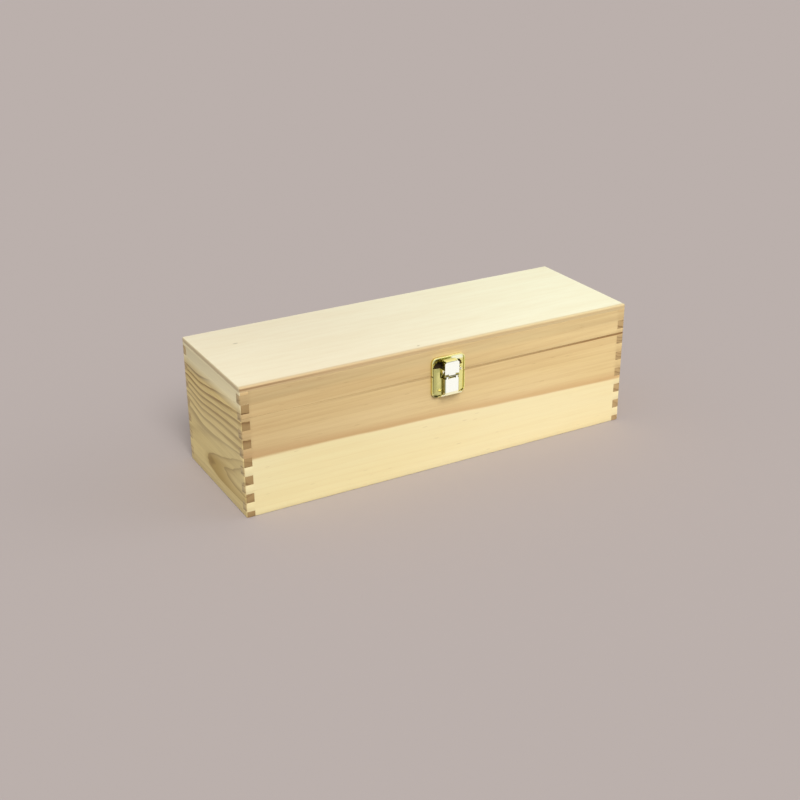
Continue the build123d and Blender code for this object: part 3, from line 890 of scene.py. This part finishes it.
rivets = []
for side in (-1, 1):
    shank = cross_bar("rivet", 0.6, (side * 7.0, side * 8.8), PIVOT_OUT, PIVOT_UP, 16).rest()
    head = cross_bar("head", 1.0, (side * 8.7, side * 9.1), PIVOT_OUT, PIVOT_UP)
    head.edges(lambda c: near(abs(c.x), 9.1)).round(0.3, 4).rest()
    rivets += [shank, head]
rivets = join(rivets, "catch_rivets")
rivets.done(brass_nail, "body", "brass_nails", ["catch_pivot_rivets"])

# ---------------------------------------------------------------- hinges
HINGE_AXIS_OUT = 1.8
LEAF_HALF, LEAF_NEAR, LEAF_FAR = 12, 2.8, 13
KNUCKLES_WIDE, KNUCKLE_GAP = 23.6, 0.2


def leaf(name, hinge_x, side, rolled, body, node):
    """A leaf whose edge is rolled round the pin between the other leaf's knuckles."""
    low, high = sorted((side * LEAF_NEAR, side * LEAF_FAR))
    p = sheet(name, (hinge_x - LEAF_HALF, low), (hinge_x + LEAF_HALF, high), BACK + PLATE / 2)
    third = KNUCKLES_WIDE / 3
    inner = hinge_x - third / 2, hinge_x + third / 2
    outer = inner[0] - KNUCKLE_GAP, inner[1] + KNUCKLE_GAP
    for x in inner + outer:
        p.cut((x, 0, 0), (1, 0, 0))

    def rolls(a, b):
        x = (a.x + b.x) / 2
        return inner[0] < x < inner[1] if rolled == "middle" else x < outer[0] or x > outer[1]

    p.edges(lambda c: near(c.z, SEAM + side * LEAF_NEAR), rolls)
    for out, along in ((0.06, 0.9), (0.12, 0.9), (0.12, 1.0)):
        p.extrude((0, out, -side * along))
    bpy.ops.mesh.spin(steps=14, angle=math.radians(-side * 290), use_auto_merge=False,
                      center=(hinge_x, BACK + HINGE_AXIS_OUT, SEAM), axis=(1, 0, 0))
    p.soften_corners(1.2, lambda c: near(c.z, SEAM + side * LEAF_FAR)
                     and near(abs(c.x - hinge_x), LEAF_HALF))
    p.outward()
    p.modify("SOLIDIFY", thickness=0.76, offset=0, use_even_offset=True)
    p.ease(0.12, 2, 40)
    return p.done(brass_plate, body, "brass_plate", [node])


for place, hinge_x in (("left", -HINGE_PLACE), ("right", HINGE_PLACE)):
    leaf(f"hinge_{place}_leaf_low", hinge_x, -1, "ends", "body", f"hinge_{place}_body_leaf")
    leaf(f"hinge_{place}_leaf_high", hinge_x, 1, "middle", "lid", f"hinge_{place}_lid_leaf")


def nail_heads(name, up, body, node):
    """Round-headed nails in both hinges: one is turned, the others are copies of it."""
    foot, crown = BACK + 0.5, BACK + 1.2
    first, *others = [hinge_x + x for hinge_x in (-HINGE_PLACE, HINGE_PLACE) for x in (-8, 8)]
    head = rod("nail", 1.3, ((first, foot, SEAM + up), (first, crown, SEAM + up)), "y")
    head.edges(lambda c: near(c.y, crown)).round(0.38, 5).rest()
    heads = [head] + [head.copied("nail", (x - first, 0, 0)) for x in others]
    return join(heads, name).done(brass_nail, body, "brass_nails", [node])


nail_heads("hinge_nails_high", 8.5, "lid", "hinge_lid_nails")
nail_heads("hinge_nails_low", -8.5, "body", "hinge_body_nails")

# Pins and small nails are shown as the solids they are
for node in ("catch_link_pin", "hinge_left_pin", "hinge_right_pin", "catch_base_nails",
             "catch_keeper_nails"):
    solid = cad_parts[node]
    solid.data.materials.clear()
    solid.data.materials.append(brass_nail)

# ---------------------------------------------------------------- floor, light and camera
BACKGROUND = srgb(187, 176, 172)
SKY = 0.5
TOP_LIGHT = 1.095

unselect()
bpy.ops.mesh.primitive_plane_add(size=14, location=(0, 0, -0.0002))
floor = bpy.context.object
floor.name = "floor"
ground = Paint("floor_grey")
tree = ground.tree
tree.nodes.remove(ground.shader)
matt = ground.node("BsdfDiffuse", None, {0: tuple(c / TOP_LIGHT for c in BACKGROUND)})
ground_x = ground.split(ground.place)[0]
seen_in_brass = ground.blend(ground_x.rise(-0.05, 0.06), srgb(206, 208, 200), (1, 1, 1))
mirror = ground.node("Emission", None, {"Color": seen_in_brass, "Strength": 1.0})
ray = ground.node("LightPath", None, (), "Is Glossy Ray")
shown = ground.node("MixShader", None, {0: ray, 1: matt, 2: mirror})
tree.links.new(shown.socket, next(n for n in tree.nodes if n.type == "OUTPUT_MATERIAL").inputs[0])
floor.data.materials.append(ground.material)

world = bpy.data.worlds.new("studio")
bpy.context.scene.world = world
world.use_nodes = True
sky = world.node_tree
sky.nodes.clear()
light_path = sky.nodes.new("ShaderNodeLightPath")
lit = sky.nodes.new("ShaderNodeBackground")
lit.inputs[0].default_value = (1, 1, 1, 1)
lit.inputs[1].default_value = SKY
backdrop = sky.nodes.new("ShaderNodeBackground")
backdrop.inputs[0].default_value = (*BACKGROUND, 1)
backdrop.inputs[1].default_value = 1
choose = sky.nodes.new("ShaderNodeMixShader")
sky_out = sky.nodes.new("ShaderNodeOutputWorld")
sky.links.new(light_path.outputs["Is Camera Ray"], choose.inputs[0])
sky.links.new(lit.outputs[0], choose.inputs[1])
sky.links.new(backdrop.outputs[0], choose.inputs[2])
sky.links.new(choose.outputs[0], sky_out.inputs[0])


def sun(name, towards, share, spread):
    """A soft lamp far away in the given direction; share is what it adds to a face square to it."""
    lamp = bpy.data.lights.new(name, "SUN")
    lamp.energy = share * math.pi
    lamp.angle = math.radians(spread)
    ob = bpy.data.objects.new(name, lamp)
    bpy.context.scene.collection.objects.link(ob)
    ob.rotation_euler = Vector(towards).to_track_quat("Z", "Y").to_euler()
    return ob


sun("key", (-0.14, -0.56, 0.60), 0.76, 30)
sun("fill", (0.8, -0.3, 0.35), 0.12, 40)

camera = bpy.data.objects.new("camera", bpy.data.cameras.new("camera"))
bpy.context.scene.collection.objects.link(camera)
camera.location = Vector((-494.38, -868.71, 490.35)) * MM
turn = Euler((math.radians(90 - 24.439), 0, math.radians(-29.123))).to_matrix().to_4x4()
camera.rotation_euler = (turn @ Matrix.Rotation(math.radians(-0.37), 4, "Z")).to_euler()
camera.data.sensor_width = 36
camera.data.lens = 57.2185
bpy.context.scene.camera = camera
bpy.context.scene.view_settings.view_transform = "Standard"
